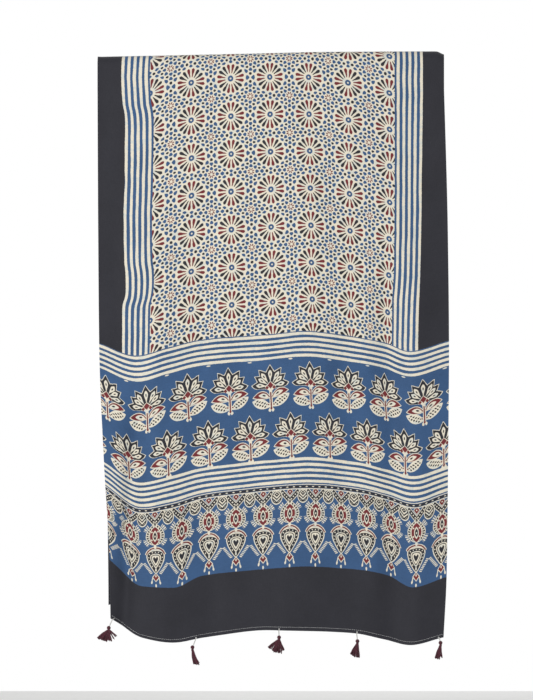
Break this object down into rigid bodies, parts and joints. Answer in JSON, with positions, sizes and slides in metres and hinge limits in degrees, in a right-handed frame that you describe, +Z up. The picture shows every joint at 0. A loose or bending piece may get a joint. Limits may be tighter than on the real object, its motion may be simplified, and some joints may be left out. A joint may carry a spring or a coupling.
{
  "type": "ajrakh cloth, a printed stole hung over a rod",
  "caption": "Block-printed ajrakh stole hanging in two falls over a rod's space, with yarn tassels sewn along its front hem.",
  "frame": {"origin": "half way across the cloth, at the height of the top of its bend", "axes": "+Z up, front of the cloth faces -Y, +X to the viewer's right along the rod's space"},
  "size_m": [0.5474, 0.0414, 0.9514],
  "materials": {
    "printed_cloth": "soft matt, block printed",
    "burgundy_yarn": "soft spun yarn",
    "white_thread": "twisted thread"
  },
  "bodies": {
    "root": {"cloth": "printed_cloth", "tassel_1": "burgundy_yarn", "tassel_2": "burgundy_yarn", "tassel_3": "burgundy_yarn", "tassel_4": "burgundy_yarn", "tassel_5": "burgundy_yarn", "tassel_thread_1": "white_thread", "tassel_thread_2": "white_thread", "tassel_thread_3": "white_thread", "tassel_thread_4": "white_thread", "tassel_thread_5": "white_thread"}
  },
  "joints": []
}
